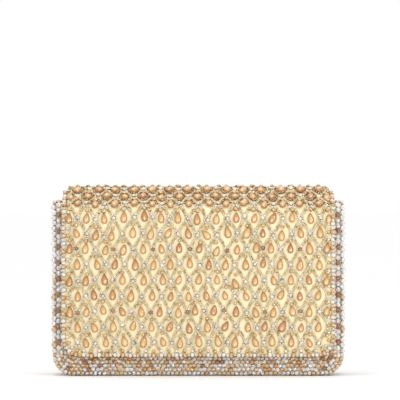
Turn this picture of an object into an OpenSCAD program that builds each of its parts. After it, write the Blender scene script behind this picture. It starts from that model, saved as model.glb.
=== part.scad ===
// Beaded evening bag: a boxed pouch with a bead-covered gusset, whose satin back
// turns over a crest, slopes down to the front and hangs there as a flap.
// X runs along the width, the front faces -Y, and the bag stands on z = 0.
// A place on the long satin is given by x and by v, its length along the satin
// from the level of the base up the flap, over the top and down the back.

/* [Body] */
// Width of the satin body, without the beads on its sides
body_width = 210.4; // [160:0.1:260]
// Depth of the body at its base, over both covers
base_depth = 38; // [30:0.5:60]
// Depth of the body at the top of its gusset, over both covers
mouth_depth = 34; // [26:0.5:56]
// Height of the top of the gusset
mouth_height = 127; // [90:0.5:170]
// Height of the front between the two ends of the gusset
front_height = 117.5; // [80:0.5:160]
// Radius of the two bottom corners of the body
corner_r = 13; // [6:0.5:20]
// Height of the satin at the crest
crest_height = 137.9; // [100:0.1:190]
// Radius of the satin at the crest, where it turns to the back
crest_r = 8; // [5:0.5:14]
// Radius of the satin at the fold over the front
fold_r = 12; // [6:0.5:16]
// Slope of the top between the fold and the crest, in degrees
top_slope = 27; // [10:1:45]

/* [Flap] */
// Width of the satin of the flap and the top
flap_width = 198.4; // [150:0.1:250]
// Height of the lower edge of the flap
flap_bottom = 15.2; // [5:0.1:60]
// Radius of the two bottom corners of the flap
flap_corner_r = 13; // [3:0.5:30]
// Space between the front of the pouch and the lining of the flap
flap_gap = 3; // [2:0.1:8]

/* [Layers] */
// Thickness of the satin cover with its backing
cover_t = 0.8; // [0.4:0.1:1.5]
// Thickness of the board or the interlining
board_t = 1.2; // [0.6:0.1:3]
// Thickness of the lining
lining_t = 0.6; // [0.3:0.1:1.2]
// Gap that stands for the glue between two layers
glue_t = 0.05; // [0.02:0.01:0.2]
// Thickness of the bead carpet on the gusset, base and border
bead_t = 2.6; // [1.5:0.1:4]
// Width of the bead border on the front at the two sides
border_side = 12; // [6:0.5:25]
// Height of the bead border on the front at the base
border_base = 19; // [8:0.5:40]

/* [Bead pattern] */
// Distance between two columns of drops
column_pitch = 13.7; // [9:0.1:20]
// Distance between two rows of drops, which are staggered by half a column
row_pitch = 11.4; // [7:0.1:18]
// Height of the lowest row of drops on the flap
first_row = 24.7; // [15:0.1:60]
// Length of a pressed glass drop
drop_length = 8.5; // [5:0.1:12]
// Width of a pressed glass drop
drop_width = 4.6; // [3:0.1:7]
// Thickness of a pressed glass drop
drop_t = 2.4; // [1.5:0.1:4]
// Radius of the round bead above each drop
round_r = 1.4; // [0.8:0.05:2]
// Radius of the pearl where the bead strings cross
pearl_r = 1.45; // [0.8:0.05:2]
// Width of a double string of seed beads
string_width = 2.2; // [1:0.1:4]
// Height of a double string of seed beads
string_t = 1.2; // [0.8:0.1:2]
// Radius of the beads along the edges
edge_r = 1.45; // [0.8:0.05:2]
// Distance between two beads along an edge
edge_pitch = 3.05; // [2:0.05:5]

/* [Pocket and press stud] */
// Width of the slip pocket on the back lining
pocket_width = 132; // [60:1:180]
// Height of the mouth of the slip pocket above the base
pocket_top = 108; // [60:1:115]
// Height of the bottom of the slip pocket above the base
pocket_bottom = 42; // [15:1:70]
// Height of the press stud above the base
stud_height = 47.5; // [30:0.5:90]
// Radius of the socket half of the press stud
socket_r = 5; // [3:0.1:8]

/* [Choice] */
// Node to draw

/* [Hidden] */

half_w = body_width / 2;
flap_half = flap_width / 2;
base_z = bead_t;
lean = atan((base_depth - mouth_depth) / 2 / (mouth_height - base_z));

board_d = cover_t + glue_t;
lining_d = board_d + board_t + glue_t;
wall_t = lining_d + lining_t;
flap_off = flap_gap + wall_t;

// The crest is an arc that touches the back; the fold is an arc that touches the
// front of the flap; the sloping top touches both arcs.
top_angle = 90 - lean;
crest_z = crest_height - crest_r;
z_back = crest_z + crest_r * sin(lean);
crest_y = base_depth / 2 - (z_back - base_z) * tan(lean) - crest_r * cos(lean);
fold_y0 = fold_r * cos(lean) - base_depth / 2 - base_z * tan(lean)
    - flap_off / cos(lean);
z_front = (fold_r - crest_r + (crest_y - fold_y0) * sin(top_slope)
    - (crest_z + fold_r * sin(lean)) * cos(top_slope))
    / (tan(lean) * sin(top_slope) - cos(top_slope));
fold_y = fold_y0 + z_front * tan(lean);
fold_z = z_front - fold_r * sin(lean);
top_length = (crest_y - fold_y) * cos(top_slope)
    + (crest_z - fold_z) * sin(top_slope);

v_front = z_front / cos(lean);
v_top = v_front + fold_r * (top_angle - top_slope) * PI / 180;
v_crest = v_top + top_length;
v_back = v_crest + crest_r * (top_angle + top_slope) * PI / 180;
v_base = v_back + (z_back - base_z) / cos(lean);

// The satin turns at two fold lines, each half way between two rows of drops.
v_flap_fold = first_row + 8.5 * row_pitch;
v_spine_fold = first_row + 11.5 * row_pitch;
fold_gap = 0.15;
fold_clear = 1.4;

// The whole bag is moved back so that it is centred over its base.
front_reach = base_depth / 2 + flap_off / cos(lean)
    - (flap_bottom - base_z) * tan(lean) + 2 * edge_r;
back_reach = base_depth / 2 + 2 * edge_r;
depth_shift = (front_reach - back_reach) / 2;

edge_in = 0.9;
pattern_in = 5.2;
drop_clear = 1.8;
front_clear = 1.4;
rise = 0.05;
far = 400;
accent_rows = [2, 6];
rows_flap = [0 : 1 : 8];
rows_spine = [9 : 1 : 11];
rows_back = [12 : 1 : 24];
columns = [-8 : 1 : 8];
post_r = 1.4;
washer_t = 0.4;

satin_color = [0.95, 0.9, 0.76];
board_color = [0.72, 0.66, 0.55];
felt_color = [0.9, 0.88, 0.82];
lining_color = [0.93, 0.87, 0.75];
pearl_color = [0.86, 0.82, 0.8];
amber_color = [0.83, 0.62, 0.38];
gold_color = [0.72, 0.55, 0.28];
carpet_color = [0.74, 0.66, 0.56];
seed_color = [0.78, 0.74, 0.66];
brass_color = [0.8, 0.66, 0.38];

// ---- Places on the satin ----

function satin_angle(v) =
    v < v_front ? top_angle
    : v < v_top ? top_angle - (v - v_front) / fold_r * 180 / PI
    : v < v_crest ? top_slope
    : v < v_back ? top_slope - (v - v_crest) / crest_r * 180 / PI
    : -top_angle;

function satin_yz(v) =
    let (
        a = satin_angle(v),
        fold = v < v_crest,
        r = fold ? fold_r : crest_r,
        center = fold ? [fold_y, fold_z] : [crest_y, crest_z],
        past = v < v_front ? v - v_front
            : v < v_top ? 0
            : v < v_crest ? v - v_top
            : max(v - v_back, 0)
    )
    center + r * [-sin(a), cos(a)] + past * [cos(a), sin(a)];

function half_depth(z, d) =
    base_depth / 2 - (z - base_z) * tan(lean) - d / cos(lean);

// True where x and a height above a straight lower edge lie in a rounded panel.
function in_panel(x, h, half, r) =
    abs(x) <= half && h >= 0
    && norm([max(0, abs(x) - half + r), max(0, r - h)]) <= r;

// The point at length s of the U-shaped line down one side, along the base and
// up the other side, as x and height, with half width, radius and side length.
function u_point(s, half, r, side) =
    let (
        q = PI * r / 2,
        flat = 2 * (half - r),
        s1 = side - r,
        s2 = s1 + q,
        s3 = s2 + flat,
        s4 = s3 + q
    )
    s < s1 ? [-half, side - s]
    : s < s2 ? [-half + r - r * cos((s - s1) / q * 90),
                r - r * sin((s - s1) / q * 90)]
    : s < s3 ? [-half + r + s - s2, 0]
    : s < s4 ? [half - r + r * sin((s - s3) / q * 90),
                r - r * cos((s - s3) / q * 90)]
    : [half, r + s - s4];

function u_length(half, r, side) = 2 * (side - r) + 2 * (half - r) + PI * r;

module bag() {
    translate([0, depth_shift, 0])
        children();
}

module on_satin(x, v) {
    p = satin_yz(v);
    translate([x, p[0], p[1]])
        rotate([satin_angle(v), 0, 0])
            children();
}

module on_front(x, z) {
    translate([x, -half_depth(z, 0), z])
        rotate([top_angle, 0, 0])
            children();
}

// ---- Outlines and layers ----

module u_shape(half, low, high, r) {
    translate([-half, low + r])
        square([2 * half, high - low - r]);
    translate([-half + r, low])
        square([2 * (half - r), high - low]);
    for (side = [-1, 1])
        translate([side * (half - r), low + r])
            circle(r);
}

module along_y() {
    rotate([90, 0, 0])
        linear_extrude(height = far, center = true)
            children();
}

module along_x() {
    rotate([90, 0, 90])
        linear_extrude(height = far, center = true)
            children();
}

module flat_layer(at, angle, from, to, d0, d1) {
    translate(at)
        rotate(angle)
            translate([from, -d1])
                square([to - from, d1 - d0]);
}

// A layer of the satin's path, from depth d0 to depth d1 under its face.
module satin_layer(d0, d1, from, to) {
    if (from < v_front)
        flat_layer(satin_yz(v_front), top_angle, from - v_front,
            min(to, v_front) - v_front, d0, d1);
    if (from < v_top && to > v_front)
        arc_layer([fold_y, fold_z], fold_r, d0, d1,
            satin_angle(max(from, v_front)), satin_angle(min(to, v_top)));
    if (from < v_crest && to > v_top)
        flat_layer(satin_yz(v_top), top_slope, max(from, v_top) - v_top,
            min(to, v_crest) - v_top, d0, d1);
    if (from < v_back && to > v_crest)
        arc_layer([crest_y, crest_z], crest_r, d0, d1,
            satin_angle(max(from, v_crest)), satin_angle(min(to, v_back)));
    if (to > v_back)
        flat_layer(satin_yz(v_back), -top_angle, max(from, v_back) - v_back,
            to - v_back, d0, d1);
}

module arc_layer(center, r, d0, d1, a0, a1) {
    reach = 3 * r;
    mid = (a0 + a1) / 2;
    translate(center)
        intersection() {
            difference() {
                circle(r - d0);
                circle(r - d1);
            }
            polygon([
                [0, 0],
                reach * [-sin(a0), cos(a0)],
                reach * [-sin(mid), cos(mid)],
                reach * [-sin(a1), cos(a1)]
            ]);
        }
}

module front_layer(d0, d1, low, high) {
    flat_layer([-base_depth / 2, base_z], top_angle, low / cos(lean),
        high / cos(lean), d0, d1);
}

// The room between the two panels, at depth d under their faces.
module between(d, low, high) {
    polygon([
        [-half_depth(low, d), low],
        [half_depth(low, d), low],
        [half_depth(high, d), high],
        [-half_depth(high, d), high]
    ]);
}

module body_outline(inset) {
    u_shape(half_w - inset, base_z + inset, mouth_height, corner_r - inset);
}

// The front is lower between the two ends of the gusset, under the fold.
module front_outline(inset) {
    difference() {
        body_outline(inset);
        u_shape(flap_half + front_clear, front_height, far, 4);
    }
}

module back_outline(inset) {
    body_outline(inset);
    translate([-flap_half + inset, mouth_height - 5])
        square([2 * (flap_half - inset), crest_height + 10 - mouth_height]);
}

module flap_outline(inset) {
    u_shape(flap_half - inset, flap_bottom + inset, crest_height + 10,
        flap_corner_r - inset);
}

module satin_panel(d0, d1, from, to) {
    intersection() {
        along_x() satin_layer(d0, d1, from, to);
        along_y() children();
    }
}

module front_panel(d0, d1, top) {
    intersection() {
        along_x() front_layer(d0, d1, -5, top - base_z);
        along_y() children();
    }
}

// One layer of the gusset, between two insets; part is -1, 1 or 0 for the base.
module gusset(inset0, inset1, part) {
    split = base_z + corner_r;
    intersection() {
        along_x() between(wall_t + glue_t, 0, mouth_height);
        along_y()
            intersection() {
                difference() {
                    body_outline(inset0);
                    translate([0, 1])
                        u_shape(half_w - inset1, base_z + inset1 - 1,
                            mouth_height + 5, corner_r - inset1);
                }
                if (part == 0)
                    translate([-far / 2, 0])
                        square([far, split - rise]);
                else
                    translate([part > 0 ? 0 : -far / 2, split])
                        square([far / 2, far]);
            }
    }
}

// ---- Beads ----

module ball(r) {
    translate([0, 0, r + rise])
        sphere(r);
}

module drop() {
    r = drop_width / 2;
    low = r - drop_length / 2;
    reach = drop_length / 2 - low;
    turn = asin(r / reach);
    tip = 0.45;
    translate([0, 0, rise])
        linear_extrude(height = drop_t) {
            translate([0, low])
                circle(r);
            polygon([
                [-r * cos(turn), low + r * sin(turn)],
                [-tip, drop_length / 2],
                [tip, drop_length / 2],
                [r * cos(turn), low + r * sin(turn)]
            ]);
        }
}

function row_v(k) = first_row + k * row_pitch;
function cell_x(i, k) = (i + (k % 2 == 0 ? 0 : 0.5)) * column_pitch;
function node_x(i, k) = (i + (k % 2 == 0 ? 0.5 : 0)) * column_pitch;
function between_folds(v, low, high, from, to) = v - low > from && v + high < to;

function is_accent(i, k) =
    len([for (row = accent_rows) if (row == k) row]) > 0 && i % 2 != 0;

function on_flap(x, v, clear) =
    in_panel(x, v - flap_bottom - pattern_in + clear,
        flap_half - pattern_in + clear, flap_corner_r);

function on_back(x, v, clear) =
    let (z = satin_yz(v)[1])
    in_panel(x, v_base - v - pattern_in + clear,
        (z > mouth_height - 4 ? flap_half : half_w) - pattern_in + clear,
        corner_r);

function on_top(x) = abs(x) < flap_half - pattern_in;

module bead_strings(rows, low, high) {
    reach = norm([column_pitch / 2, row_pitch]);
    size = reach - 2 * pearl_r - 0.6;
    slope = atan2(row_pitch, column_pitch / 2);
    for (k = rows, i = columns, side = [-1, 1]) {
        x = node_x(i, k) + side * column_pitch / 4;
        v = row_v(k) + row_pitch / 2;
        if (v - row_pitch / 2 > low && v + row_pitch / 2 < high)
            if ($keep(x, v))
                on_satin(x, v)
                    rotate([0, 0, side * slope])
                        translate([-size / 2, -string_width / 2, rise])
                            cube([size, string_width, string_t]);
    }
}

module edge_beads(half, r, side, base, up, odd) {
    total = u_length(half, r, side);
    count = floor(total / edge_pitch);
    step = total / count;
    for (n = [0 : 1 : count]) {
        p = u_point(n * step, half, r, side);
        if ((n % 4 == 1) == odd)
            on_satin(p[0], base + up * p[1])
                ball(edge_r);
    }
}

module top_edge_beads(odd) {
    v0 = v_flap_fold + fold_clear + edge_r;
    v1 = v_spine_fold - fold_clear - edge_r;
    count = floor((v1 - v0) / edge_pitch);
    for (side = [-1, 1], n = [0 : 1 : count])
        if ((n % 2 == 1) == odd)
            on_satin(side * (flap_half - edge_in), v0 + n * (v1 - v0) / count)
                ball(edge_r);
}

// ---- Pouch ----

module back_cover() {
    color(satin_color) bag()
        satin_panel(0, cover_t, v_spine_fold + fold_gap, v_base + 5)
            back_outline(0);
}

module back_board() {
    color(board_color) bag()
        satin_panel(board_d, board_d + board_t, v_back + 0.3, v_base + 5)
            back_outline(0.5);
}

module back_fold_interlining() {
    color(felt_color) bag()
        satin_panel(board_d, board_d + board_t, v_spine_fold + fold_gap, v_back)
            back_outline(0.5);
}

module back_lining() {
    color(lining_color) bag()
        satin_panel(lining_d, wall_t, v_spine_fold + fold_gap, v_base + 5)
            back_outline(0.5);
}

module front_cover() {
    color(satin_color) bag()
        difference() {
            front_panel(0, cover_t, mouth_height) front_outline(0);
            stud_post_hole();
        }
}

module front_board() {
    color(board_color) bag()
        difference() {
            front_panel(board_d, board_d + board_t, mouth_height)
                front_outline(0.5);
            stud_post_hole();
            on_front(0, stud_height)
                translate([0, 0, -lining_d])
                    cylinder(h = glue_t + washer_t + rise, r = socket_r - 0.5);
        }
}

module stud_post_hole() {
    on_front(0, stud_height)
        translate([0, 0, -wall_t])
            cylinder(h = wall_t + 1, r = post_r + rise);
}

module front_lining() {
    color(lining_color) bag()
        front_panel(lining_d, wall_t, mouth_height) front_outline(0.5);
}

module mouth_binding() {
    tape = 0.5;
    skirt = 4;
    half = half_w - border_side - 0.5;
    top = front_height - base_z;
    color(satin_color) bag()
        intersection() {
            along_x()
                difference() {
                    front_layer(-tape - rise, wall_t + tape + rise,
                        top - skirt, top + tape + rise);
                    front_layer(-rise, wall_t + rise, 0, top + rise);
                }
            translate([-half, -far / 2, 0])
                cube([2 * half, far, far]);
        }
}

module left_gusset_cover() {
    color(satin_color) bag() gusset(0, cover_t, -1);
}

module right_gusset_cover() {
    color(satin_color) bag() gusset(0, cover_t, 1);
}

module base_gusset_cover() {
    color(satin_color) bag() gusset(0, cover_t, 0);
}

module left_gusset_interlining() {
    color(felt_color) bag() gusset(board_d, board_d + board_t, -1);
}

module right_gusset_interlining() {
    color(felt_color) bag() gusset(board_d, board_d + board_t, 1);
}

module base_board() {
    color(board_color) bag() gusset(board_d, board_d + board_t, 0);
}

module left_gusset_lining() {
    color(lining_color) bag() gusset(lining_d, wall_t, -1);
}

module right_gusset_lining() {
    color(lining_color) bag() gusset(lining_d, wall_t, 1);
}

module base_lining() {
    color(lining_color) bag() gusset(lining_d, wall_t, 0);
}

module pocket_outline(low) {
    translate([-pocket_width / 2, low])
        square([pocket_width, pocket_top - low]);
}

module slip_pocket() {
    stand = wall_t + 0.4;
    color(lining_color) bag()
        satin_panel(stand, stand + lining_t, v_back + 1, v_base)
            pocket_outline(pocket_bottom);
}

module slip_pocket_binding() {
    stand = wall_t + 0.4 + lining_t + glue_t;
    color(satin_color) bag()
        satin_panel(stand, stand + 0.4, v_back + 1, v_base)
            pocket_outline(pocket_top - 5);
}

module snap_socket() {
    color(brass_color) bag()
        on_front(0, stud_height) {
            difference() {
                translate([0, 0, rise])
                    cylinder(h = 1.9, r = socket_r);
                translate([0, 0, 0.35])
                    cylinder(h = 3, r = 2.05);
            }
            translate([0, 0, -lining_d + glue_t + washer_t])
                cylinder(h = lining_d, r = post_r);
        }
}

module snap_socket_washer() {
    color(brass_color) bag()
        on_front(0, stud_height)
            translate([0, 0, -lining_d + glue_t / 2])
                cylinder(h = washer_t, r = socket_r - 0.6);
}

module side_beads(side) {
    split = base_z + corner_r;
    color(carpet_color) bag()
        intersection() {
            along_x() between(0, split, mouth_height + bead_t);
            translate([0, 0, split])
                along_y()
                    difference() {
                        translate([side > 0 ? half_w - wall_t : -half_w - bead_t, 0])
                            square([wall_t + bead_t,
                                mouth_height + bead_t - split]);
                        translate([side > 0 ? 0 : -half_w - rise, -1])
                            square([half_w + rise, mouth_height + rise + 1 - split]);
                    }
        }
}

module left_gusset_beads() {
    side_beads(-1);
}

module right_gusset_beads() {
    side_beads(1);
}

module base_beads() {
    split = base_z + corner_r;
    color(carpet_color) bag()
        intersection() {
            along_x() between(0, 0, split - rise);
            along_y()
                difference() {
                    u_shape(half_w + bead_t, 0, split + 5, corner_r + bead_t);
                    translate([0, -rise])
                        u_shape(half_w + rise, base_z, split + 10,
                            corner_r + rise);
                }
        }
}

module front_border_beads() {
    low = border_base;
    inner = half_w - border_side;
    color(carpet_color) bag()
        intersection() {
            along_x() front_layer(-bead_t, -rise, -5, mouth_height);
            along_y()
                difference() {
                    u_shape(half_w + bead_t, 0, mouth_height + bead_t,
                        corner_r + bead_t);
                    u_shape(inner, low, far, 6);
                    translate([-flap_half - front_clear, z_front + 0.5])
                        square([2 * (flap_half + front_clear), far]);
                }
        }
}

module back_drop_beads() {
    low = v_spine_fold + fold_clear;
    color(amber_color) bag()
        for (k = rows_back, i = columns)
            if (on_back(cell_x(i, k), row_v(k), -drop_clear)
                && between_folds(row_v(k), drop_length / 2, 0, low, v_base))
                on_satin(cell_x(i, k), row_v(k))
                    rotate([0, 0, 180]) drop();
}

module back_round_beads() {
    up = drop_length / 2 + round_r + 0.15;
    low = v_spine_fold + fold_clear;
    color(gold_color) bag()
        for (k = rows_back, i = columns)
            if (on_back(cell_x(i, k), row_v(k), 0)
                && between_folds(row_v(k) - up, round_r, 0, low, v_base))
                on_satin(cell_x(i, k), row_v(k) - up) ball(round_r);
}

module back_node_pearls() {
    low = v_spine_fold + fold_clear;
    color(pearl_color) bag()
        for (k = rows_back, i = columns)
            if (on_back(node_x(i, k), row_v(k), 0)
                && between_folds(row_v(k), pearl_r, 0, low, v_base))
                on_satin(node_x(i, k), row_v(k)) ball(pearl_r);
}

module back_bead_strings() {
    $keep = function (x, v) on_back(x, v, 0);
    color(seed_color) bag() bead_strings(rows_back, v_back, v_base);
}

module back_edges(odd) {
    bag()
        edge_beads(half_w - edge_in, corner_r - edge_in,
            (mouth_height - base_z) / cos(lean) - 3, v_base - edge_in, -1, odd);
}

module back_edge_pearls() {
    color(pearl_color) back_edges(false);
}

module back_edge_amber_beads() {
    color(amber_color) back_edges(true);
}

// ---- Spine ----

module spine_cover() {
    color(satin_color) bag()
        satin_panel(0, cover_t, v_flap_fold + fold_gap, v_spine_fold - fold_gap)
            flap_outline(0);
}

module spine_interlining() {
    color(felt_color) bag()
        satin_panel(board_d, board_d + board_t, v_flap_fold + fold_gap,
            v_spine_fold - fold_gap)
            flap_outline(0.5);
}

module spine_lining() {
    color(lining_color) bag()
        satin_panel(lining_d, wall_t, v_flap_fold + fold_gap,
            v_spine_fold - fold_gap)
            flap_outline(0.5);
}

module spine_drop_beads() {
    low = v_flap_fold + fold_clear;
    high = v_spine_fold - fold_clear;
    reach = drop_length / 2;
    color(amber_color) bag()
        for (k = rows_spine, i = columns)
            if (on_top(cell_x(i, k))
                && between_folds(row_v(k), reach, reach, low, high))
                on_satin(cell_x(i, k), row_v(k)) drop();
}

module spine_round_beads() {
    up = drop_length / 2 + round_r + 0.15;
    low = v_flap_fold + fold_clear;
    high = v_spine_fold - fold_clear + 1;
    color(gold_color) bag()
        for (k = rows_spine, i = columns)
            if (on_top(cell_x(i, k))
                && between_folds(row_v(k) + up, round_r, round_r, low, high))
                on_satin(cell_x(i, k), row_v(k) + up) ball(round_r);
}

module spine_node_pearls() {
    low = v_flap_fold + fold_clear;
    high = v_spine_fold - fold_clear;
    color(pearl_color) bag()
        for (k = rows_spine, i = columns)
            if (on_top(node_x(i, k))
                && between_folds(row_v(k), pearl_r, pearl_r, low, high))
                on_satin(node_x(i, k), row_v(k)) ball(pearl_r);
}

module spine_bead_strings() {
    $keep = function (x, v) on_top(x);
    color(seed_color) bag() bead_strings(rows_spine, v_top - 1.5, v_crest + 1);
}

module spine_edge_pearls() {
    color(pearl_color) bag() top_edge_beads(false);
}

module spine_edge_amber_beads() {
    color(amber_color) bag() top_edge_beads(true);
}

// ---- Flap ----

module flap_cover() {
    color(satin_color) bag()
        satin_panel(0, cover_t, 0, v_flap_fold - fold_gap)
            flap_outline(0);
}

module flap_board() {
    color(board_color) bag()
        difference() {
            satin_panel(board_d, board_d + board_t, 0, v_front - 0.3)
                flap_outline(0.5);
            flap_stud_hole();
            on_satin(0, stud_height)
                translate([0, 0, -board_d - washer_t - rise])
                    cylinder(h = washer_t + 2 * rise, r = socket_r - 0.5);
        }
}

module flap_stud_hole() {
    on_satin(0, stud_height)
        translate([0, 0, -wall_t - 1])
            cylinder(h = wall_t + 1 - cover_t - glue_t / 2, r = post_r + rise);
}

module flap_fold_interlining() {
    color(felt_color) bag()
        satin_panel(board_d, board_d + board_t, v_front, v_flap_fold - fold_gap)
            flap_outline(0.5);
}

module flap_lining() {
    color(lining_color) bag()
        difference() {
            satin_panel(lining_d, wall_t, 0, v_flap_fold - fold_gap)
                flap_outline(0.5);
            flap_stud_hole();
        }
}

module snap_stud() {
    plate_t = 0.5;
    boss = 1.75;
    color(brass_color) bag()
        on_satin(0, stud_height) {
            translate([0, 0, -wall_t - rise - plate_t])
                cylinder(h = plate_t, r = socket_r - 0.5);
            translate([0, 0, -wall_t - rise - plate_t - boss])
                cylinder(h = boss + plate_t / 2, r = 1.55);
            translate([0, 0, -wall_t - rise - plate_t / 2])
                cylinder(h = plate_t / 2 + rise + wall_t - board_d - washer_t
                    - rise, r = post_r);
        }
}

module snap_stud_washer() {
    color(brass_color) bag()
        on_satin(0, stud_height)
            translate([0, 0, -board_d - washer_t])
                cylinder(h = washer_t, r = socket_r - 0.6);
}

module flap_drop_beads() {
    high = v_flap_fold - fold_clear;
    color(amber_color) bag()
        for (k = rows_flap, i = columns)
            if (on_flap(cell_x(i, k), row_v(k), 0)
                && between_folds(row_v(k), 0, drop_length / 2, 0, high))
                on_satin(cell_x(i, k), row_v(k)) drop();
}

module flap_round_beads() {
    up = drop_length / 2 + round_r + 0.15;
    high = v_flap_fold - fold_clear;
    color(gold_color) bag()
        for (k = rows_flap, i = columns)
            if (on_flap(cell_x(i, k), row_v(k), 0)
                && between_folds(row_v(k) + up, 0, round_r, 0, high))
                on_satin(cell_x(i, k), row_v(k) + up) ball(round_r);
}

module flap_nodes(accent) {
    high = v_flap_fold - fold_clear;
    bag()
        for (k = rows_flap, i = columns)
            if (is_accent(i, k) == accent
                && on_flap(node_x(i, k), row_v(k), 0)
                && between_folds(row_v(k), 0, pearl_r, 0, high))
                on_satin(node_x(i, k), row_v(k)) ball(pearl_r);
}

module flap_node_pearls() {
    color(pearl_color) flap_nodes(false);
}

module flap_accent_beads() {
    color(gold_color) flap_nodes(true);
}

module flap_bead_strings() {
    $keep = function (x, v) on_flap(x, v - 2, 0);
    color(seed_color) bag() bead_strings(rows_flap, flap_bottom, v_front + 1);
}

module flap_edges(odd) {
    bag()
        edge_beads(flap_half - edge_in, flap_corner_r - edge_in,
            v_front - flap_bottom - edge_in, flap_bottom + edge_in, 1, odd);
}

module flap_edge_pearls() {
    color(pearl_color) flap_edges(false);
}

module flap_edge_amber_beads() {
    color(amber_color) flap_edges(true);
}

back_cover();
back_board();
back_lining();
back_fold_interlining();
front_cover();
front_board();
front_lining();
mouth_binding();
left_gusset_cover();
right_gusset_cover();
base_gusset_cover();
left_gusset_interlining();
right_gusset_interlining();
base_board();
left_gusset_lining();
right_gusset_lining();
base_lining();
slip_pocket();
slip_pocket_binding();
snap_socket();
snap_socket_washer();
left_gusset_beads();
right_gusset_beads();
base_beads();
front_border_beads();
back_drop_beads();
back_round_beads();
back_node_pearls();
back_bead_strings();
back_edge_pearls();
back_edge_amber_beads();
spine_cover();
spine_interlining();
spine_lining();
spine_drop_beads();
spine_round_beads();
spine_node_pearls();
spine_bead_strings();
spine_edge_pearls();
spine_edge_amber_beads();
flap_cover();
flap_board();
flap_lining();
flap_fold_interlining();
snap_stud();
snap_stud_washer();
flap_drop_beads();
flap_round_beads();
flap_node_pearls();
flap_accent_beads();
flap_bead_strings();
flap_edge_pearls();
flap_edge_amber_beads();
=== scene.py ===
"""Looks of a beaded evening bag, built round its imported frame.

Lengths are in millimetres until satin() and front() turn them into metres.
A place on the long satin is (x, v, h): across, along the satin from the level of the
base up the flap, over the top and down the back, and out from its face.
"""

import math

import bpy
import numpy as np
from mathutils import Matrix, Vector


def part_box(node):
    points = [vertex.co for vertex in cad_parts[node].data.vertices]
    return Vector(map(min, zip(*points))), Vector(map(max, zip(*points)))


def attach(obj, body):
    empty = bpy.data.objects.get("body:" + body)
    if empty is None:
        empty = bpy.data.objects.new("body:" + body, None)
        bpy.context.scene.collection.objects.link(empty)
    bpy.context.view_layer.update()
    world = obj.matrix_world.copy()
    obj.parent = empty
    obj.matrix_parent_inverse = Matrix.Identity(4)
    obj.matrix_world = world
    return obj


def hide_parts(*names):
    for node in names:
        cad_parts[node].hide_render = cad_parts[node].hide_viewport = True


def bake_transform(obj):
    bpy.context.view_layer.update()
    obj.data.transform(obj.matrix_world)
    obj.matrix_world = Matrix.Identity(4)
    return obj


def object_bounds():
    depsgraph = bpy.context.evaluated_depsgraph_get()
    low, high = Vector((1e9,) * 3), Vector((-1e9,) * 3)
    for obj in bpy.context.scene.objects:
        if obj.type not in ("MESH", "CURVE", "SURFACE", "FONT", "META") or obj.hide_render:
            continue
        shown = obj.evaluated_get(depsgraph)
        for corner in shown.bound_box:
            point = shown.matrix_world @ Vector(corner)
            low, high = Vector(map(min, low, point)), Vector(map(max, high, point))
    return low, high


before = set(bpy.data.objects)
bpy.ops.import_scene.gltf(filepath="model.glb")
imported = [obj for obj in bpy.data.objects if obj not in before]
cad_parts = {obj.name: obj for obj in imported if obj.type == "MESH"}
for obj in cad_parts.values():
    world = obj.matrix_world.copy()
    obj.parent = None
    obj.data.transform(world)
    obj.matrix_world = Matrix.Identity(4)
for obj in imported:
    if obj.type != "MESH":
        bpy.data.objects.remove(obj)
cad_low, cad_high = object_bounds()
rng = np.random.default_rng(11)

# ---- The design's sizes ----

HALF_W = 105.2
BASE_D, MOUTH_D = 38.0, 34.0
MOUTH_Z, FRONT_Z, BASE_Z, CREST_Z = 127.0, 117.5, 2.6, 137.9
CREST_R, FOLD_R, SLOPE = 8.0, 12.0, math.radians(27)
CORNER_R = 13.0
FLAP_HALF, FLAP_LOW, FLAP_R = 99.2, 15.2, 13.0
WALL, GAP = 2.7, 3.0
COLUMN, ROW, FIRST_ROW = 13.7, 11.4, 24.7
SPLIT_ROW, TURNED_ROW = 10.5, 12
ACCENT_ROWS = (2, 6)
PITCH, LANE, SIDE_PITCH, EDGE_PITCH = 3.15, 2.73, 3.9, 2.85
STITCH_STEP = 2.4
STUD_Z = 47.5
EAR_R = 4.0
SCOOP = FLAP_HALF + 1.4
SINK, SINK_FROM = 4.6, 89.5
MM = 0.001

LEAN = math.atan((BASE_D - MOUTH_D) / 2 / (MOUTH_Z - BASE_Z))
SIN, COS, TAN = math.sin(LEAN), math.cos(LEAN), math.tan(LEAN)
OFF = GAP + WALL
UPRIGHT = math.pi / 2 - LEAN
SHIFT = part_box("front_cover")[0][1] * 1000 + BASE_D / 2

C2_Z = CREST_Z - CREST_R
Z_BACK = C2_Z + CREST_R * SIN
C2_Y = BASE_D / 2 - (Z_BACK - BASE_Z) * TAN - CREST_R * COS
FOLD_Y0 = FOLD_R * COS - BASE_D / 2 - BASE_Z * TAN - OFF / COS
Z_FRONT = (
    FOLD_R - CREST_R + (C2_Y - FOLD_Y0) * math.sin(SLOPE)
    - (C2_Z + FOLD_R * SIN) * math.cos(SLOPE)
) / (TAN * math.sin(SLOPE) - math.cos(SLOPE))
C1_Y, C1_Z = FOLD_Y0 + Z_FRONT * TAN, Z_FRONT - FOLD_R * SIN
TOP_LENGTH = (C2_Y - C1_Y) * math.cos(SLOPE) + (C2_Z - C1_Z) * math.sin(SLOPE)

V_FRONT = Z_FRONT / COS
V_TOP = V_FRONT + FOLD_R * (UPRIGHT - SLOPE)
V_CREST = V_TOP + TOP_LENGTH
V_BACK = V_CREST + CREST_R * (UPRIGHT + SLOPE)
V_BASE = V_BACK + (Z_BACK - BASE_Z) / COS
V_NECK = V_BACK + (Z_BACK - MOUTH_Z) / COS
V_SPLIT = FIRST_ROW + SPLIT_ROW * ROW
PANEL_TOP = (MOUTH_Z - BASE_Z) / COS
FRONT_TOP = (FRONT_Z - BASE_Z) / COS


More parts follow.
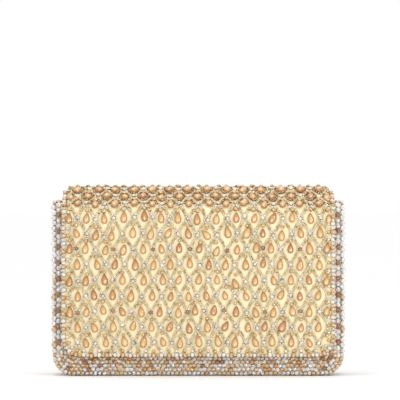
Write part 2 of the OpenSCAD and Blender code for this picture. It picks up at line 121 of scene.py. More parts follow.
def satin_angle(v):
    """How far the satin's outward direction is turned from up, towards the front."""
    return np.select(
        [v < V_FRONT, v < V_TOP, v < V_CREST, v < V_BACK],
        [UPRIGHT + 0 * v, UPRIGHT - (v - V_FRONT) / FOLD_R, SLOPE + 0 * v, SLOPE - (v - V_CREST) / CREST_R],
        -UPRIGHT,
    )


def slump(x, v):
    """How far the two ends of the soft crest sink."""
    rise = np.clip((v - V_TOP) / (V_CREST - V_TOP), 0, 1)
    rise = rise * np.clip((V_BACK + 1 - v) / (V_BACK - V_CREST), 0, 1)
    near_end = np.clip((np.abs(x) - SINK_FROM) / (FLAP_HALF - SINK_FROM), 0, 1.2)
    return SINK * near_end**2 * np.sin(rise * math.pi / 2)


def together(*values):
    """The values as arrays of one shape."""
    return np.broadcast_arrays(*(np.asarray(value, float) for value in values))


def satin(x, v, h):
    """Points over the satin, in metres, in the row frame."""
    x, v, h = together(x, v, h)
    a = satin_angle(v)
    fold = v < V_CREST
    past = np.select(
        [v < V_FRONT, v < V_TOP, v < V_CREST], [v - V_FRONT, 0 * v, v - V_TOP], np.maximum(v - V_BACK, 0)
    )
    r = np.where(fold, FOLD_R, CREST_R) + h - slump(x, v)
    y = np.where(fold, C1_Y, C2_Y) + SHIFT - r * np.sin(a) + past * np.cos(a)
    z = np.where(fold, C1_Z, C2_Z) + r * np.cos(a) + past * np.sin(a)
    return np.stack([x, y, z], -1) * MM


def satin_axes(v):
    """The directions across, along and out of the satin."""
    a = satin_angle(np.asarray(v, float))
    o, c, s = np.zeros_like(a), np.cos(a), np.sin(a)
    return np.moveaxis(np.array([[o + 1, o, o], [o, c, s], [o, -s, c]]), (0, 1), (-2, -1))


def front(x, u, h):
    """Points over the front panel's face; u runs up the panel from its lower edge."""
    x, u, h = together(x, u, h)
    y = SHIFT - BASE_D / 2 + u * SIN - h * COS
    z = BASE_Z + u * COS + h * SIN
    return np.stack([x, y, z], -1) * MM


FRONT_AXES = np.array([[1, 0, 0], [0, SIN, COS], [0, -COS, SIN]])


def half_depth(z, d=0.0):
    """Half the depth between the two panels at height z, less d at each."""
    return BASE_D / 2 - (z - BASE_Z) * TAN - d / COS


def u_line(s, half, r, side):
    """A U-shaped line: x, height and outward direction at length s."""
    q, flat = math.pi * r / 2, 2 * (half - r)
    ends = np.cumsum([side - r, q, flat, q])
    s = np.asarray(s, float)
    t1, t2 = (s - ends[0]) / r, (s - ends[2]) / r
    where = [s < end for end in ends]
    x = np.select(
        where,
        [-half + 0 * s, -half + r - r * np.cos(t1), -half + r + s - ends[1], half - r + r * np.sin(t2)],
        half,
    )
    z = np.select(where, [side - s, r - r * np.sin(t1), 0 * s, r - r * np.cos(t2)], r + s - ends[3])
    turn = np.select(where, [0 * s, t1, math.pi / 2 + 0 * s, math.pi / 2 + t2], math.pi)
    return x, z, np.stack([-np.cos(turn), -np.sin(turn)], -1)


def u_total(half, r, side):
    """The length of a U-shaped line."""
    return 2 * (side - r) + 2 * (half - r) + math.pi * r


def in_panel(x, h, half, r):
    """Whether a place is inside a panel with rounded lower corners."""
    dx, dh = np.maximum(0, np.abs(x) - half + r), np.maximum(0, r - h)
    return (np.abs(x) <= half) & (h >= 0) & (np.hypot(dx, dh) <= r)


def on_flap(x, v, inset):
    return (v < V_SPLIT) & in_panel(x, v - FLAP_LOW - inset, FLAP_HALF - inset, FLAP_R)


def on_back(x, v, inset):
    half = np.where(v < V_NECK + 3, FLAP_HALF, HALF_W) - inset
    low = in_panel(x, V_BASE - v - inset, HALF_W - inset, CORNER_R)
    return (v >= V_SPLIT) & (np.abs(x) <= half) & low


# ---- Meshes ----


def make(name, verts, loops, totals):
    """A mesh object from flat arrays: points in metres, corners, corners per face."""
    mesh = bpy.data.meshes.new(name)
    starts = np.concatenate([[0], np.cumsum(totals)[:-1]]).astype(np.int32)
    mesh.vertices.add(len(verts))
    mesh.vertices.foreach_set("co", np.asarray(verts, np.float32).ravel())
    mesh.loops.add(len(loops))
    mesh.loops.foreach_set("vertex_index", np.asarray(loops, np.int32))
    mesh.polygons.add(len(totals))
    mesh.polygons.foreach_set("loop_start", starts)
    mesh.polygons.foreach_set("use_smooth", np.full(len(totals), True))
    mesh.update(calc_edges=True)
    mesh.validate()
    o = bpy.data.objects.new(name, mesh)
    bpy.context.scene.collection.objects.link(o)
    return o


def quads(rows, cols, closed=False):
    """The corners of each face of a grid of points, whose rows may close on themselves."""
    i, j = np.meshgrid(np.arange(rows - 1), np.arange(cols if closed else cols - 1), indexing="ij")
    k = (j + 1) % cols
    return np.stack([i * cols + j, i * cols + k, (i + 1) * cols + k, (i + 1) * cols + j], -1)


def grid(name, points, flip=False, skip=None):
    """A sheet from a (rows, columns, 3) array of points, without its skipped faces."""
    faces = quads(*points.shape[:2])
    faces = faces.reshape(-1, 4) if skip is None else faces[~skip]
    if flip:
        faces = faces[:, ::-1]
    used, loops = np.unique(faces.ravel(), return_inverse=True)
    return make(name, points.reshape(-1, 3)[used], loops.ravel(), np.full(len(faces), 4))


def attribute(o, name, values):
    """A number or a vector stored at each point of a mesh."""
    kind, key = ("FLOAT_VECTOR", "vector") if values.ndim == 2 else ("FLOAT", "value")
    data = o.data.attributes.new(name, kind, "POINT").data
    data.foreach_set(key, values.astype(np.float32).ravel())


def lathe(profile, segments, flat=1.0):
    """A bead's shape: a profile of (along, radius) turned about its length, with two caps."""
    along, radius = np.array(profile, float).T[:, :, None]
    t = np.arange(segments) / segments * 2 * math.pi
    points = np.stack([radius * np.sin(t), along + 0 * t, radius * np.cos(t) * flat], -1)
    last = (len(profile) - 1) * segments
    caps = np.concatenate([np.arange(segments)[::-1], last + np.arange(segments)])
    faces = quads(len(profile), segments, closed=True).reshape(-1, 4)
    totals = np.concatenate([np.full(len(faces), 4), [segments, segments]])
    return points.reshape(-1, 3), np.concatenate([faces.ravel(), caps]), totals


def round_profile(r, squash, rings=7):
    """A round bead of radius r whose hole has a rim at each end."""
    body = [(r * squash * math.sin(a), r * math.cos(a)) for a in np.linspace(-1.18, 1.18, rings)]
    deep, hole = body[0][0] * 0.86, body[0][1] * 0.42
    return [(deep, hole), *body, (-deep, hole)]


class Crowd:
    """Beads that become one mesh. Each keeps its tint and its own coordinates."""

    def __init__(self):
        self.beads = []

    def add(self, at, axes, spin, tilt, size=1.0, tint=None):
        """Beads at places in metres, each turned by its spin and tipped at random by tilt."""
        n = len(at)
        x, t, out = np.broadcast_to(axes, (n, 3, 3)).transpose(1, 0, 2)
        spin = np.broadcast_to(spin, n)[:, None]
        across = x * np.cos(spin) + t * np.sin(spin)
        along = t * np.cos(spin) - x * np.sin(spin)
        tip = (rng.normal(0, 1, n) * tilt)[:, None]
        along, out = along * np.cos(tip) + out * np.sin(tip), out * np.cos(tip) - along * np.sin(tip)
        tint = rng.random(n) if tint is None else np.broadcast_to(tint, n)
        self.beads.append((at, np.stack([across, along, out], 1), np.broadcast_to(size, n), tint))
        return self

    def sew(self, x, v, h, spin, tilt, size=1.0, tint=None):
        """Beads on the long satin."""
        return self.add(satin(x, v, h), satin_axes(v), spin, tilt, size, tint)

    def build(self, name, shape, material):
        """One mesh with a bead of the given shape at each place."""
        verts, loops, totals = shape
        at, axes, size, tint = (np.concatenate(parts) for parts in zip(*self.beads))
        n, k = len(at), len(verts)
        points = at[:, None] + np.einsum("vi,nij->nvj", verts * MM, axes) * size[:, None, None]
        all_loops = (loops[None] + np.arange(n)[:, None] * k).ravel()
        o = make(name, points.reshape(-1, 3), all_loops, np.tile(totals, n))
        attribute(o, "tint", np.repeat(tint, k))
        attribute(o, "own", np.tile(verts / np.abs(verts).max(0), (n, 1)))
        attribute(o, "bead", np.repeat(at, k, 0))
        o.data.materials.append(material)
        return o


# ---- Materials ----


class Tree:
    """A short way to write a node material."""

    def __init__(self, name):
        self.mat = bpy.data.materials.new(name)
        self.mat.use_nodes = True
        self.nt = self.mat.node_tree
        self.nt.nodes.clear()
        self.out = self.nt.nodes.new("ShaderNodeOutputMaterial")

    def node(self, kind, settings=None, **inputs):
        n = self.nt.nodes.new("ShaderNode" + kind)
        for key, value in (settings or {}).items():
            setattr(n, key, value)
        for key, value in inputs.items():
            numbered = key[0] == "i" and key[1:].isdigit()
            self.put(n.inputs[int(key[1:]) if numbered else key.replace("_", " ")], value)
        return n

    def put(self, socket, value):
        if isinstance(value, bpy.types.NodeSocket):
            self.nt.links.new(value, socket)
        else:
            socket.default_value = value

    def coords(self, scale=(1.0, 1.0, 1.0)):
        place = self.node("TexCoord").outputs["Object"]
        return self.node("Mapping", Vector=place, Scale=scale).outputs[0]

    def noise(self, scale, detail=3.0, roughness=0.55, vector=None):
        place = self.coords() if vector is None else vector
        return self.node(
            "TexNoise", Scale=scale, Detail=detail, Roughness=roughness, Vector=place
        ).outputs[0]

    def own(self, name, part=None):
        a = self.node("Attribute", {"attribute_name": name})
        if part is None:
            return a.outputs["Fac"]
        return self.node("SeparateXYZ", i0=a.outputs["Vector"]).outputs[part]

    def ramp(self, value, stops, mode):
        r = self.node("ValToRGB")
        e = r.color_ramp.elements
        r.color_ramp.interpolation = mode
        while len(e) < len(stops):
            e.new(0.5)
        for element, (at, colour) in zip(e, stops):
            element.position = at
            element.color = srgb(*colour)
        self.put(r.inputs[0], value)
        return r.outputs[0]

    def maths(self, kind, a, b=0.0):
        return self.node("Math", {"operation": kind}, i0=a, i1=b).outputs[0]

    def mix(self, fac, a, b, blend="MIX"):
        n = self.node("Mix", {"data_type": "RGBA", "blend_type": blend}, i0=fac, i6=a, i7=b)
        return n.outputs[2]

    def shade(self, fac, colour, by):
        """The colour multiplied by another as far as fac says."""
        return self.mix(fac, colour, self.mix(1.0, colour, (*by, 1), "MULTIPLY"))

    def span(self, value, low, high, a=0.0, b=1.0):
        return self.node("MapRange", i0=value, i1=low, i2=high, i3=a, i4=b).outputs[0]

    def bump(self, height, strength, distance):
        return self.node("Bump", Strength=strength, Distance=distance, Height=height).outputs[0]

    def done(self, **inputs):
        p = self.node("BsdfPrincipled", **inputs)
        self.nt.links.new(p.outputs[0], self.out.inputs[0])
        return self.mat


def srgb(*colour):
    """The linear colour, with alpha, of red, green and blue from 11 to 255."""
    return (*(((c / 255 + 0.055) / 1.055) ** 2.4 for c in colour), 1.0)


THREAD_WIDTH, SLUB = 0.32, 0.5


def cloth(name, light, dark, sheen):
    """Satin-faced cloth: long floats across, fine weave, soft changes of tone."""
    t = Tree(name)

    def threads(way, per_turn, distortion, share):
        wave = t.node(
            "TexWave", {"bands_direction": way}, Scale=1000 / THREAD_WIDTH / per_turn,
            Distortion=distortion, Detail=1.0, Vector=t.coords(),
        )
        return t.maths("MULTIPLY", wave.outputs["Fac"], share)

    light, dark = srgb(*light), srgb(*dark)
    fine = t.noise(1.0, 2.0, vector=t.coords((260.0, 900.0, 2600.0)))
    weave = t.maths("ADD", threads("Z", 6.28, 1.5, 0.6), threads("X", 11.0, 0.8, 0.4))
    colour = t.mix(t.span(t.noise(55.0, 4.0), 0.35, 0.68), dark, light)
    colour = t.mix(t.maths("MULTIPLY", fine, 0.16 * SLUB), colour, (*(c * 0.55 for c in dark[:3]), 1))
    return t.done(
        Base_Color=colour,
        Roughness=t.span(weave, 0.0, 1.0, 0.5, 0.34),
        Normal=t.bump(t.maths("ADD", weave, t.maths("MULTIPLY", fine, SLUB)), 0.25, 0.00006),
        Sheen_Weight=sheen,
        Anisotropic=0.35,
        Specular_IOR_Level=0.5,
    )


WHITE = (1, 1, 1)


def glass(
    name, stops, mode="LINEAR", metal=0.0, rough=0.12, through=0.0, hole=0.8, rim=WHITE, painted_core_shade=WHITE, painted_highlight=0.0,
    edge=(0.6, 0.18),
):
    """Bead glass: a tint for each bead, painted shade at its ends where the hole is, fine streaks.

    rim paints shade on a bead's outline and the core setting paints shade on the middle of its face,
    both standing in for how light goes through glass; edge says between which heights the painted
    outline shade fades in, and the highlight setting is the strength of a painted pale highlight in
    its lower half."""
    t = Tree(name)
    streak = t.noise(900.0, 3.0, 0.7)
    across, along, high = (t.own("own", part) for part in range(3))
    colour = t.ramp(t.own("tint"), stops, mode)
    colour = t.shade(t.span(streak, 0.35, 0.75, 0.0, 0.35), colour, (0.72, 0.66, 0.6))
    # Painted shade: the middle of each bead's face is darkened, standing in for the darker look through clear
    # glass.
    colour = t.shade(t.span(high, 0.55, 0.92), colour, painted_core_shade)
    # Painted shade: each bead's outline is darkened by the rim colour, standing in for the darker look of
    # glass at its edges.
    colour = t.shade(t.span(high, *edge), colour, rim)
    # Painted highlight: a pale glow painted into the lower half of each bead.
    if painted_highlight:
        down = t.maths("ABSOLUTE", t.maths("ADD", along, 0.4))
        away = t.maths("ADD", t.maths("ABSOLUTE", across), down)
        colour = t.mix(t.span(away, 0.1, 0.5, painted_highlight, 0.0), colour, (1.0, 0.86, 0.62, 1))
    # Painted shade: each bead is darkened towards both ends of its length, where shade falls in its hole.
    colour = t.shade(t.span(t.maths("ABSOLUTE", along), hole, 1.0, 0.0, 0.75), colour, (0.3, 0.22, 0.16))
    return t.done(
        Base_Color=colour,
        Metallic=metal,
        Roughness=t.span(streak, 0.3, 0.8, rough * 0.7, rough * 1.6),
        Transmission_Weight=through,
        IOR=1.52,
        Coat_Weight=1.0,
        Coat_Roughness=0.04,
        Normal=t.bump(streak, 0.12, 0.0001),
    )


SATIN = cloth("cream_satin", (249, 237, 198), (242, 227, 182), 0.08)
GROUND = cloth("ground_satin", (230, 216, 190), (223, 207, 179), 0.05)
LINING = cloth("lining_satin", (234, 218, 184), (228, 210, 174), 0.15)
# Each glass below gets painted shade on its beads' outlines and ends. Amber and carpet glass also get painted
# shade on the middle of each face, and amber gets a painted highlight.
PEARL = glass(
    "pearl_glass",
    [(0.0, (238, 230, 214)), (0.3, (220, 208, 190)), (0.6, (230, 216, 190)), (0.85, (206, 198, 188))],
    metal=0.15, rough=0.16, rim=(0.62, 0.56, 0.5),
)
AMBER = glass(
    "amber_glass",
    [
        (0.0, (234, 196, 130)), (0.3, (220, 174, 104)), (0.55, (230, 184, 118)), (0.8, (212, 158, 92)),
        (1.0, (198, 138, 76)),
    ],
    rough=0.06, through=0.1, hole=0.95, rim=(0.58, 0.44, 0.3), painted_core_shade=(0.98, 0.88, 0.76), painted_highlight=0.7,
    edge=(0.84, 0.42),
)
GOLD = glass(
    "gold_glass", [(0.0, (224, 188, 124)), (0.5, (210, 172, 106)), (1.0, (228, 202, 146))],
    metal=0.15, rough=0.14, through=0.1, rim=(0.6, 0.42, 0.26),
)
ACCENT = glass(
    "accent_glass", [(0.0, (182, 130, 56)), (1.0, (158, 104, 46))],
    metal=0.3, hole=0.75, rim=(0.5, 0.36, 0.24),
)
SEED = glass(
    "seed_glass",
    [
        (0.0, (248, 238, 216)), (0.3, (238, 226, 196)), (0.5, (238, 220, 176)), (0.7, (226, 202, 148)),
        (0.85, (206, 172, 116)), (1.0, (170, 130, 84)),
    ],
    rough=0.2, hole=0.6, rim=(0.74, 0.68, 0.52),
)
CARPET = glass(
    "carpet_glass",
    [
        (0.0, (246, 247, 249)), (0.12, (236, 236, 238)), (0.28, (230, 222, 212)), (0.44, (228, 210, 182)),
        (0.62, (226, 194, 152)), (0.8, (210, 158, 112)), (0.94, (170, 114, 76)),
    ],
    "CONSTANT", metal=0.05, rough=0.1, through=0.1, hole=0.88, rim=(1.0, 0.98, 0.95),
    painted_core_shade=(0.76, 0.71, 0.66),
)


def plain(name, colour, other, rough, metal=0.0, scale=300.0, bump=0.2):
    """A dull or metal material with a fine mottle of two colours."""
    t = Tree(name)
    n = t.noise(scale, 5.0)
    return t.done(
        Base_Color=t.mix(t.span(n, 0.3, 0.7), srgb(*colour), srgb(*other)),
        Roughness=t.span(n, 0.3, 0.7, rough * 0.85, rough * 1.15),
        Metallic=metal,
        Normal=t.bump(n, bump, 0.0002),
    )


BOARD = plain("grey_board", (178, 166, 142), (150, 138, 116), 0.9)
FELT = plain("white_felt", (232, 228, 216), (214, 208, 194), 0.95, scale=900.0, bump=0.6)
BRASS = plain("stud_brass", (214, 184, 120), (196, 162, 96), 0.2, metal=0.95, scale=500.0, bump=0.05)
THREAD = plain("sewing_thread", (240, 226, 196), (220, 202, 168), 0.7, scale=2500.0, bump=0.5)

# ---- Cloth ----

WAVES = 18


def pattern_cell(x, v):
    """How far a place is from the bead strings, from 0 on them to 1 in a cell's middle."""
    across, up = x / COLUMN + 0.5, (v - FIRST_ROW) / (2 * ROW)
    return 2 * np.minimum(*(np.abs(a - np.round(a)) for a in (across + up, across - up)))


def ripples(x, v, seed, scale):
    """Smooth random waves, alike for every run."""
    g = np.random.default_rng(seed)
    total = np.zeros(np.broadcast(x, v).shape)
    for _ in range(WAVES):
        turn = g.random() * 2 * math.pi
        k = 2 * math.pi / scale / (0.5 + g.random() * 1.2)
        total += np.sin(k * (x * math.cos(turn) + v * math.sin(turn)) + g.random() * 6.28)
    return total / math.sqrt(WAVES)


def puckers(x, v):
    """The height of the quilted satin: sunk at the strings, puffed in each cell."""
    puff = pattern_cell(x, v) ** 0.6
    return -0.1 + 0.45 * puff + 0.07 * ripples(x, v, 3, 5.0) * (0.4 + puff)


def panel_points(rows, half_at, columns):
    """x and v for each row and column of a panel whose half width changes with the row."""
    half = np.array([half_at(v) for v in rows])
    return half[:, None] * np.linspace(-1, 1, columns), np.repeat(rows[:, None], columns, 1)


def corner_half(h, half, r):
    """Half the width of a panel with rounded corners at height h."""
    return half if h >= r else half - r + math.sqrt(max(0.0, r * r - (r - h) ** 2))


def low_spaced(low, high, r, coarse, fine):
    """Rows that crowd together towards a rounded lower edge."""
    t = np.linspace(0, math.pi / 2, fine)
    bend = low + r * (1 - np.cos(t))
    return np.concatenate([bend[:-1], np.linspace(low + r, high, coarse)])


EDGE = WALL / 2
COLUMNS = 185
OUTLINE_TURN = np.linspace(0, math.pi, 7)[1:]


def flap_half(inset):
    """Half the width of a sheet of the flap that stays inset from its outline."""
    return lambda v: corner_half(v - FLAP_LOW - inset, FLAP_HALF - inset, FLAP_R - inset)


def wrapped_panel(name, way, low, r, coarse, half_at, lap):
    """Satin from its lower edge to the split that turns round its board's edge.

    v is low at the lower edge and grows upwards if way is 1; r rounds the corners."""
    rows = low + way * low_spaced(0, (V_SPLIT - low) * way, r, coarse, 14)
    n, m = len(rows), COLUMNS
    x, v = panel_points(rows, half_at, m)
    verts = [satin(x, v, puckers(x, v)).reshape(-1, 3)]
    left, right = np.arange(n)[::-1] * m, np.arange(1, n) * m + m - 1
    chain = np.concatenate([left, np.arange(1, m), right])
    cx, cv = x.ravel()[chain], v.ravel()[chain]
    ch = puckers(cx, cv)
    down = np.clip(1 - (cv - low) * way / r, 0, 1)
    out = np.stack([np.repeat([-1, 0, 1], [n, m - 2, n]) * np.sqrt(1 - down**2), -down], -1)
    steps = [(EDGE * math.sin(t), -EDGE * (1 - math.cos(t))) for t in OUTLINE_TURN]
    steps += [(-lap * f, -2 * EDGE) for f in (0.5, 1.0)]
    for k, (d, h) in enumerate(steps):
        fade = max(0.0, 1 - (k + 1) / 3)
        verts.append(satin(cx + out[:, 0] * d, cv + out[:, 1] * d * way, ch * fade + h))
    faces = [quads(n, m).reshape(-1, 4)]
    lines = [chain] + [n * m + k * len(chain) + np.arange(len(chain)) for k in range(len(steps))]
    for a, b in zip(lines, lines[1:]):
        faces.append(np.stack([b[:-1], b[1:], a[1:], a[:-1]], -1))
    faces = np.concatenate(faces)[:, ::way]
    o = make(name, np.concatenate(verts), faces.ravel(), np.full(len(faces), 4))
    o.data.materials.append(SATIN)
    return o


flap_satin = wrapped_panel("flap_satin", 1, FLAP_LOW + EDGE, FLAP_R - EDGE, 112, flap_half(EDGE), 4.0)


def back_half(v):
    """Half the width of the back's satin, which is narrower above the gusset's ends."""
    if v < V_NECK:
        return FLAP_HALF - EDGE
    wide = FLAP_HALF + (HALF_W - FLAP_HALF) * math.sqrt(min(1.0, (v - V_NECK) / 2.5))
    return min(wide - EDGE, corner_half(V_BASE - v - EDGE, HALF_W - EDGE, CORNER_R - EDGE))


back_satin = wrapped_panel("back_satin", -1, V_BASE - EDGE, CORNER_R - EDGE, 136, back_half, 1.0)


def held(x, v, half, low, high):
    """1 inside a sheet, falling to 0 at its sewn edges."""
    near = np.minimum(half - np.abs(x), np.minimum(v - low, high - v))
    return np.clip(near / 6.0, 0, 1) ** 0.7


def finished(o, thickness, material, offset=-1.0):
    """A sheet with its thickness in millimetres and its material."""
    m = o.modifiers.new("thickness", "SOLIDIFY")
    m.thickness, m.offset = thickness * MM, offset
    m.use_even_offset = False
    o.data.materials.append(material)
    return o


LINE = -WALL - 0.05
LOW_BACK = V_BASE - WALL
HEM = 3.6


def lining(name, rows, half_at, half, low, high, seed, scale, depth):
    """A slack lining, held at its edges."""
    x, v = panel_points(rows, half_at, 110)
    h = LINE - held(x, v, half, low, high) * (0.12 + depth * ripples(x, v, seed, scale))
    return finished(grid(name, satin(x, v, h), flip=True), 0.3, LINING)


def back_lining_half(v):
    """Half the width of the back's lining."""
    wide = 97.5 if v < V_NECK + 1 else HALF_W - WALL
    return min(wide, corner_half(LOW_BACK - v, HALF_W - WALL, CORNER_R - WALL))


def fold_felt(name, low, high):
    """The soft strip in a fold."""
    x, v = panel_points(np.linspace(low, high, 30), lambda v: FLAP_HALF - 1.6, 60)
    return finished(grid(name, satin(x, v, -0.95)), 1.0, FELT)


flap_lining = lining(
    "flap_lining_cloth", low_spaced(FLAP_LOW + HEM, V_SPLIT, FLAP_R - HEM, 84, 8), flap_half(HEM),
    FLAP_HALF - HEM, FLAP_LOW + HEM, 400, 21, 34, 0.1,
)
back_lining = lining(
    "back_lining_cloth", LOW_BACK - low_spaced(0, LOW_BACK - V_SPLIT, CORNER_R - WALL, 100, 8)[::-1],
    back_lining_half, HALF_W - WALL, 0, LOW_BACK, 22, 30, 0.12,
)
flap_felt = fold_felt("flap_fold_felt", V_FRONT - 2, V_SPLIT)
back_felt = fold_felt("back_fold_felt", V_SPLIT, V_BACK + 2)

# ---- Front panel, gusset and linings of the pouch ----


def scoop_side(u):
    """The inner edge of the two ears that stand at the ends of the front's lower part."""
    up = min(max(u - FRONT_TOP, 0.0), EAR_R)
    return SCOOP - EAR_R + math.sqrt(EAR_R**2 - (EAR_R - up) ** 2)


def front_sheet(name, h, half, low, r, material, flip, seed, wave, thickness):
    """A sheet of the front: one piece up to its mouth, with an ear at each end."""
    ears = FRONT_TOP + np.array([0.4, 1.2, 2.4, 4, 7, PANEL_TOP - FRONT_TOP])
    rows = np.concatenate([low_spaced(low, FRONT_TOP, r, 56, 10), ears])
    inner = (SCOOP - EAR_R) / half
    ends = np.linspace(inner, 1, 5)
    s = np.concatenate([-ends[::-1], np.linspace(-inner, inner, 92)[1:-1], ends])
    x = np.array([corner_half(u - low, half, r) for u in rows])[:, None] * s
    for i, u in enumerate(rows):
        if u > FRONT_TOP + 0.01:
            ear = np.linspace(half, scoop_side(u), 5)
            x[i, :5], x[i, -5:] = -ear, ear[::-1]
    u = np.repeat(rows[:, None], len(s), 1)
    skip = np.repeat(rows[:-1, None] > FRONT_TOP - 0.01, len(s) - 1, 1)
    skip[:, :4] = skip[:, -4:] = False
    h = h + wave * ripples(x, u, seed, 30) * held(x, u, half, low, FRONT_TOP)
    return finished(grid(name, front(x, u, h), flip, skip), thickness, material)


front_satin = front_sheet("front_satin", -0.05, HALF_W, 0, CORNER_R, GROUND, False, 5, 0.1, 0.5)
front_lining = front_sheet(
    "front_lining_cloth", -WALL, HALF_W - WALL, WALL, CORNER_R - WALL, LINING, True, 8, 0.14, 0.3
)


def gusset_sheet(name, inset, material, inner, seed):
    """A strip down one side, along the base and up the other side, between the panels."""
    half, r = HALF_W - inset, CORNER_R - inset
    side = MOUTH_Z - BASE_Z - inset
    s = np.linspace(0, u_total(half, r, side), 260)
    x, z, out = u_line(s, half, r, side)
    z = z + BASE_Z + inset
    t = np.linspace(-1, 1, 26)[:, None]
    y = t * half_depth(z, WALL * 0.9 if inner else 0.1)
    wave = (1 - t**2) * (0.25 + 0.5 * ripples(s[None], y, seed, 16)) * (0.5 if inner else 0.05)
    points = np.stack([x - out[:, 0] * wave, y + SHIFT, z - out[:, 1] * wave], -1) * MM
    return finished(grid(name, points, flip=not inner), 0.4, material)


gusset_satin = gusset_sheet("gusset_satin", 0.05, GROUND, False, 31)
gusset_lining = gusset_sheet("gusset_lining_cloth", WALL, LINING, True, 32)


def mouth_path():
    """The front's upper edge from ear to ear: x, height and outward direction."""
    t = np.linspace(0, math.pi / 2, 9)
    rise = np.linspace(PANEL_TOP, FRONT_TOP + EAR_R, 8)[:-1]
    x = np.concatenate([-SCOOP + 0 * rise, -SCOOP + EAR_R - EAR_R * np.cos(t)])
    u = np.concatenate([rise, FRONT_TOP + EAR_R - EAR_R * np.sin(t)])
    n = np.concatenate([np.stack([1 + 0 * rise, 0 * rise], -1), np.stack([np.cos(t), np.sin(t)], -1)])
    flat = np.linspace(-SCOOP + EAR_R, SCOOP - EAR_R, 200)[1:-1]
    x, u = np.concatenate([x, flat, -x[::-1]]), np.concatenate([u, FRONT_TOP + 0 * flat, u[::-1]])
    return x, u, np.concatenate([n, [(0, 1)] * len(flat), n[::-1] * (-1, 1)])


def mouth_binding():
    """A folded strip of cloth over the mouth's edge, with small gathers."""
    x, u, n = mouth_path()
    lip, skirt = 0.45, 3.4
    low = np.minimum(skirt, 1.0 + np.clip(n[:, 1], 0, 1) ** 2 * skirt)
    section = [(lip * 0.7, -1.0), (lip, -0.5)]
    for a in np.linspace(0, math.pi, 7):
        section.append((-WALL / 2 + (WALL / 2 + lip) * math.cos(a), math.sin(a)))
    section += [(-WALL - lip, -0.5), (-WALL - lip * 0.7, -1.0)]
    out, rise = np.array(section).T[:, :, None]
    d = np.where(rise < 0, rise * low, 0.75 * rise)
    run = np.cumsum(np.hypot(np.diff(x, prepend=x[0]), np.diff(u, prepend=u[0])))
    h = out + np.sign(out + WALL / 2) * 0.06 * ripples(run[None], d * 3, 41, 3.5)
    tape = grid("mouth_binding_cloth", front(x + n[:, 0] * d, u + n[:, 1] * d, h), flip=True)
    return finished(tape, 0.25, SATIN, 1.0)


mouth_tape = mouth_binding()

# ---- Slip pocket, hung by its sides and base from the back lining ----

POCKET_HALF, POCKET_LOW, POCKET_TOP = 66.0, 42.0, 108.0
POCKET_V = (V_BASE - (POCKET_LOW - BASE_Z), V_BASE - (POCKET_TOP - BASE_Z))
LAST_FRAME, MOVE_CAP = 14, 0.0016


def places(data, key="co"):
    """A mesh's points, or the vectors of one of its attributes, as an array."""
    at = np.zeros(len(data) * 3, np.float32)
    data.foreach_get(key, at)
    return at.reshape(-1, 3)


def settle(o, sewn):
    """Let the cloth sink under its weight, held at its sewn points."""
    pins = o.vertex_groups.new(name="sewn")
    pins.add([int(i) for i in sewn], 1.0, "ADD")
    m = o.modifiers.new("cloth", "CLOTH")
    m.settings.vertex_group_mass = "sewn"
    m.settings.quality, m.settings.mass = 8, 0.15
    m.settings.tension_stiffness = m.settings.compression_stiffness = 40
    m.settings.bending_stiffness = 0.6
    m.collision_settings.use_collision = False
    m.point_cache.frame_start, m.point_cache.frame_end = 1, LAST_FRAME
    for f in range(1, LAST_FRAME + 1):
        bpy.context.scene.frame_set(f)
    first = places(o.data.vertices)
    move = places(o.evaluated_get(bpy.context.evaluated_depsgraph_get()).data.vertices) - first
    o.modifiers.clear()
    far = np.linalg.norm(move, axis=1, keepdims=True)
    move *= np.minimum(1.0, MOVE_CAP / np.maximum(far, 1e-9))
    o.data.vertices.foreach_set("co", (first + move).ravel())
    bpy.context.scene.frame_set(1)
    o.vertex_groups.clear()


def pocket():
    """The pocket's cloth: sewn at three sides, its mouth slack and settled by weight."""
    rows, cols = 34, 67
    t, s = np.linspace(0, 1, rows), np.linspace(-1, 1, cols)
    x, v = np.meshgrid(s * POCKET_HALF, POCKET_V[0] + t * (POCKET_V[1] - POCKET_V[0]))
    belly = np.sin(t * math.pi / 2)[:, None] ** 1.5 * (1 - s**2)
    h = -WALL - 0.85 - belly * (1.3 + 0.35 * ripples(x, v, 51, 30))
    o = grid("slip_pocket_cloth", satin(x, v, h))
    index = np.arange(rows * cols).reshape(rows, cols)
    settle(o, np.concatenate([index[0], index[1:, 0], index[1:, -1]]))
    at = places(o.data.vertices).reshape(rows, cols, 3)
    o.modifiers.new("smooth", "SUBSURF").levels = 1
    return finished(o, 0.3, LINING, 0.0), at


slip_pocket, pocket_at = pocket()


def pocket_tape():
    """The folded strip along the pocket's mouth."""
    top = pocket_at[-1]
    rise = top - pocket_at[-3]
    n = np.cross(np.gradient(top, axis=0), rise)
    n /= np.linalg.norm(n, axis=1, keepdims=True)
    rise /= np.linalg.norm(rise, axis=1, keepdims=True)
    gather = 0.42 + 0.05 * ripples(np.arange(len(n)) * 2.0, np.zeros(len(n)), 61, 6.0)
    half = [(1, -4.4), (1, -2.2), (1, -0.2), (0.6, 0.35)]
    section = [*half, (0, 0.5), *((-side, up) for side, up in half[::-1])]
    lines = [top + n * (side * gather)[:, None] * MM + rise * up * MM for side, up in section]
    o = finished(grid("slip_pocket_binding_cloth", np.stack(lines)), 0.2, SATIN, 0.0)
    o.modifiers.new("smooth", "SUBSURF").levels = 1
    return o


pocket_binding = pocket_tape()

# ---- Bead shapes ----

